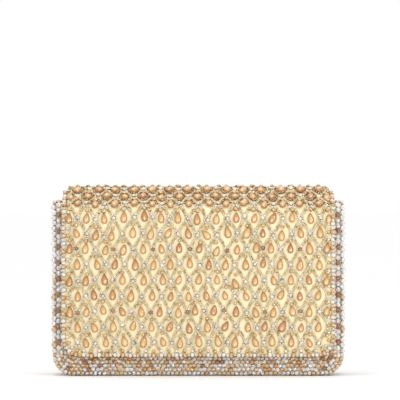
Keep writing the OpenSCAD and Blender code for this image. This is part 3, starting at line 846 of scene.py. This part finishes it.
DROP = lathe(
    [
        (-3.7, 0.4), (-3.4, 1.25), (-2.7, 1.92), (-1.8, 2.3), (-0.8, 2.4), (0.3, 2.26), (1.3, 1.94),
        (2.2, 1.54), (3.0, 1.12), (3.6, 0.74), (4.0, 0.3),
    ],
    14, 0.66,
)
ROUND = lathe(round_profile(1.5, 0.92, 8), 12)
PEARL_SHAPE = lathe(round_profile(1.55, 0.92, 8), 12)
EDGE_SHAPE = lathe(round_profile(1.55, 1.2, 7), 12)
CARPET_SHAPE = lathe(round_profile(1.7, 0.96, 5), 9, 0.8)
SIDE_SHAPE = lathe(round_profile(1.9, 1.0, 7), 12, 0.8)
SMALL_ROUND = lathe(round_profile(1.3, 1.1, 5), 9)
SEED_SHAPE = lathe([(-0.55, 0.42), (0.0, 0.7), (0.55, 0.42)], 5)
STITCH = lathe([(-0.8, 0.07), (-0.6, 0.15), (0.6, 0.15), (0.8, 0.07)], 6)


def pattern(start):
    """Places of a staggered pattern over the whole satin: x, v, row, column."""
    return np.array([
        ((i + abs(start - k % 2 / 2)) * COLUMN, FIRST_ROW + k * ROW, k, i)
        for k in range(-1, 26) for i in range(-9, 10)
    ])


CELLS, NODES = pattern(0.0), pattern(0.5)
ROUND_ABOVE = 5.75


def jitter(n, amount):
    """Small random differences between beads."""
    return rng.normal(0, amount, n)


def drift(x, v):
    """Uneven steps of hand work: the whole pattern wanders by a millimetre or so."""
    ease = np.clip((FLAP_HALF - 3 - np.abs(x)) / 12, 0, 1)
    return x + 1.25 * ease * ripples(x, v, 71, 46), v + 0.7 * ripples(x, v, 72, 38)


def scatter(points, height, spin, tilt, lift=0.0):
    """Beads near pattern points; those behind the crest point the other way."""
    n = len(points)
    over = points[:, 2] >= TURNED_ROW
    x, v = drift(points[:, 0], points[:, 1])
    x, v = x + jitter(n, 0.35), v + jitter(n, 0.35)
    v = v + np.where(over, -lift, lift)
    return Crowd().sew(
        x, v, height + np.abs(jitter(n, 0.05)), np.where(over, np.pi, 0.0) + jitter(n, spin), tilt,
        1 + jitter(n, 0.06) + 0.2 * near_crest(v),
    )


def near_crest(v):
    """1 along the crest, where the beads sit closest, falling to 0 down both faces."""
    return np.clip(1.25 - np.abs(v - V_CREST + 4) / 26, 0, 1) ** 0.5


def bead_set(side, inside):
    """The drops, rounds and pearls of one sheet, by the CAD node that they replace."""
    cells = CELLS.copy()
    cells[:, 0] = np.clip(cells[:, 0], -FLAP_HALF + 4.6, FLAP_HALF - 4.6)
    on_sheet = np.abs(CELLS[:, 0]) < FLAP_HALF
    drops = cells[inside(cells[:, 0], cells[:, 1], 4.4) & on_sheet]
    lift = np.where(CELLS[:, 2] >= TURNED_ROW, -ROUND_ABOVE, ROUND_ABOVE)
    rounds = cells[inside(cells[:, 0], cells[:, 1] + lift, 4.2) & on_sheet]
    pearls = NODES[inside(NODES[:, 0], NODES[:, 1], 3.8)]
    special = np.isin(pearls[:, 2], ACCENT_ROWS) & (pearls[:, 3] % 2 != 0) & (side == "flap")
    made = {
        "drop_beads": scatter(drops, 1.6, 0.2, 0.06).build(side + "_drops", DROP, AMBER),
        "round_beads": scatter(rounds, 1.5, 1.2, 0.2, lift=ROUND_ABOVE).build(side + "_rounds", ROUND, GOLD),
        "node_pearls": scatter(pearls[~special], 1.6, 1.5, 0.3).build(side + "_pearls", PEARL_SHAPE, PEARL),
    }
    if special.any():
        accents = scatter(pearls[special], 1.5, 1.5, 0.2)
        made["accent_beads"] = accents.build(side + "_accents", PEARL_SHAPE, ACCENT)
    return made


def strings(side, inside):
    """Two rows of seed beads along each edge of the lattice, silvery near its knots."""
    c = Crowd()
    length, count, start = math.hypot(COLUMN / 2, ROW), 10, 2.1
    along = np.linspace(0, 1, count)
    swell = np.sin(along * math.pi)
    t = start + along * (length - 2 * start)
    middle = np.tile(swell, len(NODES))
    for way in (-1, 1):
        d = np.array([way * COLUMN / 2, ROW]) / length
        n = np.array([-d[1], d[0]])
        for row in (-1, 1):
            aside = row * 0.56 + way * 0.25 * swell
            base = NODES[:, None, :2] + t[:, None] * d + aside[:, None] * n
            base = base.reshape(-1, 2) + rng.normal(0, 0.09, (len(NODES) * count, 2))
            keep = inside(base[:, 0], base[:, 1], 2.6)
            x, v = drift(base[keep, 0], base[keep, 1])
            m, top = len(x), near_crest(v)
            tint = np.clip(0.12 + 0.5 * middle[keep] + 0.28 * top + jitter(m, 0.2), 0, 1)
            c.sew(
                x, v, 0.6 + 0.35 * top + np.abs(jitter(m, 0.06)), math.atan2(-d[0], d[1]) + jitter(m, 0.15),
                0.08, 1 + 0.25 * top + jitter(m, 0.06), tint,
            )
    return {"bead_strings": c.build(side + "_seed_strings", SEED_SHAPE, SEED)}


def kept(x, v, inside, inset):
    """The places that lie inside a sheet, moved by its drift."""
    keep = inside(x.ravel(), v.ravel(), inset)
    return drift(x.ravel()[keep], v.ravel()[keep])


def knots(side, inside):
    """Six clear seed beads round each pearl."""
    turn = (np.arange(6) + 0.5) * math.pi / 3
    x, v = kept(NODES[:, :1] + 1.95 * np.sin(turn), NODES[:, 1:2] + 1.95 * np.cos(turn), inside, 3.0)
    m = len(x)
    tint = np.clip(0.1 + jitter(m, 0.12), 0, 0.4)
    h, spin = 0.8 + np.abs(jitter(m, 0.1)), rng.random(m) * 6
    c = Crowd().sew(x, v, h, spin, 0.3, 1.15 + jitter(m, 0.08), tint)
    return {"knots": c.build(side + "_knot_beads", SEED_SHAPE, SEED)}


def rings(side, inside):
    """Seed beads set round the drops along the crest."""
    turn = np.arange(12) * math.pi / 6
    near = CELLS[(CELLS[:, 2] >= 9) & (CELLS[:, 2] <= 13)]
    x = near[:, :1] + 3.1 * np.sin(turn) * (1 - 0.18 * np.cos(turn))
    v = near[:, 1:2] + np.where(near[:, 2:3] >= TURNED_ROW, 1, -1) * 4.6 * np.cos(turn)
    high = v > FIRST_ROW + 9.15 * ROW
    x, v = kept(x[high], v[high], inside, 2.9)
    m = len(x)
    x, v = x + jitter(m, 0.2), v + jitter(m, 0.2)
    h, spin = 0.9 + np.abs(jitter(m, 0.1)), rng.random(m) * 6
    c = Crowd().sew(x, v, h, spin, 0.4, 1.35 + jitter(m, 0.1))
    return {"rings": c.build(side + "_drop_rings", SEED_SHAPE, GOLD)}


def edge_line(side):
    """Places along a sheet's beaded edge: x, v, outward direction and number."""
    if side == "flap":
        inset, half, r, up, base, sign = 0.3, FLAP_HALF, FLAP_R, V_SPLIT - FLAP_LOW - 0.3, FLAP_LOW, 1
    else:
        inset, half, r, up, base, sign = 0.9, HALF_W, CORNER_R, PANEL_TOP - 3.0, V_BASE, -1
    half, r, base = half - inset, r - inset, base + sign * inset
    total = u_total(half, r, up)
    count = int(total / EDGE_PITCH / 4) * 4
    x, z, out = u_line((np.arange(count) + 0.5) * total / count, half, r, up)
    return x, base + sign * z, out[:, 0], out[:, 1] * sign, np.arange(count)


def neck_line():
    """The two edges of the top from the split over the crest to the gusset."""
    v = np.arange(V_SPLIT + EDGE_PITCH / 2, V_NECK + 1.5, EDGE_PITCH)
    side = np.repeat([-1.0, 1.0], len(v))
    return side * (FLAP_HALF - 0.3), np.tile(v, 2), side, 0 * side, np.tile(np.arange(len(v)), 2)


def edge_beads(side, _):
    """Long beads sewn over an edge, a smaller one between each two, a row of rounds inside."""
    parts = [edge_line(side)] + ([neck_line()] if side == "back" else [])
    x, v, dx, dv, n = (np.concatenate([p[q] for p in parts]) for q in range(5))
    x, v, along = x + jitter(len(x), 0.15), v + jitter(len(x), 0.15), np.arctan2(dx, -dv)
    made = {}
    for name, chosen, shape, material, h, inward in (
        ("edge_pearls", n % 4 == 0, EDGE_SHAPE, PEARL, 1.5, 0.0),
        ("edge_amber_beads", n % 4 == 2, EDGE_SHAPE, AMBER, 1.5, 0.0),
        ("edge_spacers", n % 2 == 1, SMALL_ROUND, CARPET, 1.35, 0.0),
        ("edge_inner_pearls", n % 4 == 0, SMALL_ROUND, PEARL, 1.2, 3.0),
        ("edge_inner_ambers", n % 4 == 2, SMALL_ROUND, GOLD, 1.25, 3.0),
    ):
        m = int(chosen.sum())
        px, pv = x[chosen] - dx[chosen] * inward, v[chosen] - dv[chosen] * inward
        c = Crowd().sew(
            px, pv, h + np.abs(jitter(m, 0.05)), along[chosen] + jitter(m, 0.25), 0.15,
            1 + jitter(m, 0.06), 0.05 + rng.random(m) * 0.7,
        )
        made[name] = c.build(side + "_" + name, shape, material)
    return made


sewn = {"flap": {}, "back": {}}
for kind in (rings, knots, bead_set, strings, edge_beads):
    for side, inside in (("flap", on_flap), ("back", on_back)):
        sewn[side].update(kind(side, inside))

# ---- Bead layers of the border and the gusset ----


def border_beads():
    """Rows that follow the outline of the front, from its outer edge inwards."""
    c = Crowd()
    for row in range(6):
        inset = -0.6 + row * LANE
        half, r = HALF_W - inset, max(1.5, CORNER_R - inset)
        up = PANEL_TOP + 1.2 - inset
        total = u_total(half, r, up)
        s = total / 2 + (np.arange(-200, 200) + 0.5 * (row % 2)) * PITCH
        x, u, out = u_line(s[(s > 0) & (s < total)], half, r, up)
        u = u + inset
        keep = (u < 19.5) & (np.abs(x) < 94) if row == 5 else u < 109
        keep &= (row > 1) | (u < 14.5)
        x, u, out = x[keep], u[keep], out[keep]
        m = len(x)
        tint = 0.06 + rng.random(m) * (0.76 if row == 0 else 0.94)
        tint = np.where((row > 1) & (u > 16), tint * 0.55, tint)
        loose, size = (0.1, 0.88) if row == 0 else (0.25, 1.0)
        c.add(
            front(x + jitter(m, loose), u + jitter(m, loose), 1.4 + jitter(m, 0.12)), FRONT_AXES,
            np.arctan2(out[:, 0], -out[:, 1]) + jitter(m, 0.6), 0.55, size + jitter(m, 0.05), tint,
        )
    return c.build("front_border", CARPET_SHAPE, CARPET)


def side_beads():
    """Two columns of larger beads up each side of the front; every third is brown."""
    c = Crowd()
    for column, x in enumerate((HALF_W + 1.2, HALF_W - 2.4)):
        u = np.arange(16.2 + column * SIDE_PITCH / 2, PANEL_TOP + 0.6, SIDE_PITCH)
        m = len(u)
        third = np.arange(m) % 3 == 1
        for side in (-1, 1):
            tint = rng.random(m) * 0.28
            tint = np.where(third & (column == 1), 0.95, tint)
            tint = np.where(third & (column == 0) & (rng.random(m) < 0.4), 0.8, tint)
            c.add(
                front(side * x + jitter(m, 0.18), u + jitter(m, 0.18), 1.5 + jitter(m, 0.06)), FRONT_AXES,
                math.pi / 2 + jitter(m, 0.5), 0.6, 1 + jitter(m, 0.05), tint,
            )
    return c.build("front_side_columns", SIDE_SHAPE, CARPET)


def gusset_beads(part):
    """Staggered beads round the strip: part is -1 left, 0 base or 1 right."""
    c = Crowd()
    side = MOUTH_Z - BASE_Z
    total = u_total(HALF_W, CORNER_R, side)
    low, high = side - CORNER_R, total - side + CORNER_R
    s0, s1 = {-1: (0, low), 0: (low, high), 1: (high, total)}[part]
    lanes = int(2 * half_depth(BASE_Z) / LANE)
    for lane in range(lanes):
        y = (lane - (lanes - 1) / 2) * (2 * half_depth(BASE_Z) - 1.2) / lanes
        s = np.arange(s0 + 1.2 + (lane % 2) * PITCH / 2, s1 - 0.9, PITCH)
        x, z, out = u_line(s, HALF_W, CORNER_R, side)
        z = z + BASE_Z
        keep = np.abs(y) < half_depth(z) - 1.0
        x, z, (dx, dz) = x[keep], z[keep], out[keep].T
        m, o = len(x), 0 * x
        h = 1.3 + jitter(m, 0.02)
        at = np.stack([x + dx * h, y + SHIFT + jitter(m, 0.15), z + dz * h], -1) * MM
        axes = np.moveaxis(np.array([[o, o + 1, o], [-dz, o, dx], [dx, o, dz]]), -1, 0)
        c.add(at, axes, jitter(m, 0.4), 0.5 if part else 0.1, 0.91 + jitter(m, 0.02))
    if part:
        for x, z, first in ((HALF_W + 1.15, MOUTH_Z + 0.9, 0.0), (HALF_W - 1.9, MOUTH_Z + 1.3, PITCH / 2)):
            y = np.arange(-half_depth(MOUTH_Z) + 1.4 + first, half_depth(MOUTH_Z) - 1.0, PITCH)
            at = np.stack([part * x + 0 * y, y + SHIFT, z + 0 * y], -1) * MM
            c.add(at, np.eye(3), jitter(len(y), 0.25), 0.1, 0.93, rng.random(len(y)) * 0.7)
    name = {-1: "left_gusset", 0: "base", 1: "right_gusset"}[part]
    return c.build(name + "_bead_layer", CARPET_SHAPE, CARPET)


border, side_columns = border_beads(), side_beads()
layers = {part: gusset_beads(part) for part in (-1, 0, 1)}

# ---- Stitches and the press stud's rims ----


def flap_stitches():
    """The hem of the flap's lining."""
    inset = 5.0
    half, r, up = FLAP_HALF - inset, FLAP_R - inset, V_SPLIT - FLAP_LOW - inset - 1
    x, z, out = u_line(np.arange(1.3, u_total(half, r, up), 2.6), half, r, up)
    c = Crowd().sew(x, FLAP_LOW + inset + z, LINE - 0.16, np.arctan2(out[:, 0], -out[:, 1]), 0.02)
    return c.build("flap_hem_stitches", STITCH, THREAD)


def mouth_stitches():
    """Two rows along the mouth's binding, outside and inside."""
    c = Crowd()
    x = np.arange(-SCOOP + 5, SCOOP - 5, STITCH_STEP)
    for h in (0.62, -WALL - 0.62):
        c.add(front(x, FRONT_TOP - 2.6, h), FRONT_AXES, math.pi / 2 + jitter(len(x), 0.06), 0.02)
    return c.build("mouth_stitches", STITCH, THREAD)


def pocket_stitches():
    """The seams down the pocket's sides and along its base."""
    c, h = Crowd(), -WALL - 1.05
    v = POCKET_V[0] - np.arange(0.8, POCKET_V[0] - POCKET_V[1] - 0.5, STITCH_STEP)
    for side in (-1, 1):
        c.sew(side * (POCKET_HALF - 1.2), v, h, 0.0, 0.02)
    x = np.arange(-POCKET_HALF + 2, POCKET_HALF - 1, STITCH_STEP)
    c.sew(x, POCKET_V[0] - 1.2 + 0 * x, h, math.pi / 2, 0.02)
    return c.build("pocket_stitches", STITCH, THREAD)


def rim(name, at, out, up, profile):
    """A turned ring; profile is a closed line of (along the axis, radius)."""
    c = Crowd().add(at[None], np.stack([np.cross(up, out), out, up]), 0.0, 0.0, 1.0, 0.5)
    around = 40
    points, loops, totals = lathe([*profile, profile[0]], around)
    return c.build(name, (points, loops[: -2 * around], totals[:-2]), BRASS)


stitches = [mouth_stitches(), pocket_stitches()]
flap_thread = flap_stitches()
_, front_up, front_out = FRONT_AXES
socket_at = front(0, (STUD_Z - BASE_Z) / COS, 1.5)
RIM = [(0.0, 5.15), (0.55, 5.3), (0.9, 4.9), (0.9, 4.2), (0.5, 4.0), (0.0, 4.0)]
LOW_RIM = [(a * 0.7, b * 0.97) for a, b in RIM]
socket_rim = rim("snap_socket_rim", socket_at, front_out, front_up, RIM)
stud_ring = rim("snap_stud_rim", satin(0, STUD_Z, -WALL - 0.2), -front_out, front_up, LOW_RIM)

# ---- Bodies ----


def bend(fold, pieces, beads=False):
    """Bake each piece's placement into its points; the fold and the beads' places are read, but nothing is
    turned over the fold.
    """
    a, b, *lines = fold
    start, end = (tuple(satin(0.0, v, 0.0).tolist()) for v in lines)
    for piece in pieces:
        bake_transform(piece)
        if beads:
            at = places(piece.data.attributes["bead"].data, "vector")


FRONT_FOLD = ("spine", "flap", V_TOP, V_FRONT)
CREST_FOLD = ("pouch", "spine", V_BACK, V_CREST)
bend(FRONT_FOLD, (flap_satin, flap_lining, flap_felt))
bend(CREST_FOLD, (back_satin, back_lining, back_felt))
bend(FRONT_FOLD, (*sewn["flap"].values(), flap_thread), beads=True)
bend(CREST_FOLD, sewn["back"].values(), beads=True)
for piece in (
    front_satin, front_lining, gusset_satin, gusset_lining, mouth_tape, slip_pocket, pocket_binding,
    border, side_columns, *layers.values(), *stitches, socket_rim,
):
    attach(piece, "pouch")
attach(stud_ring, "flap")

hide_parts("front_border_beads")
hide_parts("left_gusset_beads")
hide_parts("base_beads")
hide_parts("right_gusset_beads")
for side, bodies in (("flap", ("flap", "spine")), ("back", ("back",))):
    for kind, piece in sewn[side].items():
        nodes = [body + "_" + kind for body in bodies if body + "_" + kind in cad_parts]
        if nodes:
            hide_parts(*nodes)

GUSSET_RUN = u_total(HALF_W, CORNER_R, MOUTH_Z - BASE_Z) * MM
FLAP_RUN, BACK_RUN = (V_SPLIT - FLAP_LOW) * MM, (V_BASE - V_SPLIT) * MM
for piece, flat, held_by, on, *nodes in (
    (flap_satin, (0.212, FLAP_RUN + 0.008), "stretched", "flap_board", "flap_cover", "spine_cover"),
    (back_satin, (0.216, BACK_RUN + 0.005), "stretched", "back_board", "back_cover"),
    (flap_lining, (0.192, FLAP_RUN), "stretched", "flap_board", "flap_lining", "spine_lining"),
    (back_lining, (0.202, BACK_RUN), "stretched", "back_board", "back_lining"),
    (
        flap_felt, (0.195, (V_SPLIT - V_FRONT + 2) * MM), "stretched", "flap_satin",
        "flap_fold_interlining", "spine_interlining",
    ),
    (
        back_felt, (0.195, (V_BACK + 2 - V_SPLIT) * MM), "stretched", "back_satin",
        "back_fold_interlining",
    ),
    (front_satin, (0.2104, PANEL_TOP * MM), "stretched", "front_board", "front_cover"),
    (front_lining, (0.205, PANEL_TOP * MM), "stretched", "front_board", "front_lining"),
    (
        gusset_satin, (0.036, GUSSET_RUN), "stretched", "base_board",
        "left_gusset_cover", "right_gusset_cover", "base_gusset_cover",
    ),
    (
        gusset_lining, (0.034, GUSSET_RUN), "stretched", "base_board",
        "left_gusset_lining", "right_gusset_lining", "base_lining",
    ),
    (mouth_tape, (0.011, 0.212), "folded", "front_board", "mouth_binding"),
    (slip_pocket, (0.1335, 0.067), "hung", "back_board", "slip_pocket"),
    (pocket_binding, (0.1335, 0.0105), "folded", "slip_pocket_cloth", "slip_pocket_binding"),
):
    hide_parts(*nodes)

NODE_LOOKS = {
    BOARD: ("back_board", "front_board", "flap_board", "base_board"),
    FELT: ("left_gusset_interlining", "right_gusset_interlining"),
    BRASS: ("snap_socket", "snap_socket_washer", "snap_stud", "snap_stud_washer"),
}
for material, names in NODE_LOOKS.items():
    for name in names:
        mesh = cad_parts[name].data
        mesh.materials.clear()
        mesh.materials.append(material)

# ---- Stage, light and camera ----

steps = np.linspace(-30, 30, 13)
fx, fy = np.meshgrid(steps, steps)
floor = grid("floor", np.stack([fx, fy, 0 * fx], -1))
floor.data.materials.append(plain("studio_floor", (255,) * 3, (253,) * 3, 0.9, scale=4.0, bump=0.0))

world = bpy.data.worlds.new("studio")
bpy.context.scene.world = world
world.use_nodes = True
background = world.node_tree.nodes["Background"]
background.inputs[0].default_value = (1, 1, 1, 1)
background.inputs[1].default_value = 1.0


def lamp(name, at, size, power):
    """A square lamp that points at the middle of the bag."""
    light = bpy.data.lights.new(name, "AREA")
    light.energy, light.size = power, size
    o = bpy.data.objects.new(name, light)
    o.location = at
    o.rotation_euler = (Vector((0, 0, 0.07)) - Vector(at)).to_track_quat("-Z", "Y").to_euler()
    bpy.context.scene.collection.objects.link(o)


lamp("key", (0.55, -1.1, 0.45), 0.16, 2.0)
lamp("low", (0.7, -1.0, 0.03), 0.16, 2.0)
lamp("fill", (-0.3, -1.5, 0.5), 0.9, 2.2)
lamp("top", (-0.2, -0.2, 1.1), 0.4, 1.2)

DISTANCE, VIEW_WIDTH, EYE_Z = 2.2, 0.2934, 0.1294
camera = bpy.data.cameras.new("camera")
camera.sensor_width = 36
camera.lens = 36 * DISTANCE / VIEW_WIDTH
eye = bpy.data.objects.new("camera", camera)
eye.location = (0.00125, cad_low[1] - DISTANCE, EYE_Z)
eye.rotation_euler = (math.pi / 2, 0, 0)
bpy.context.scene.collection.objects.link(eye)
bpy.context.scene.camera = eye
bpy.context.scene.view_settings.view_transform = "Standard"
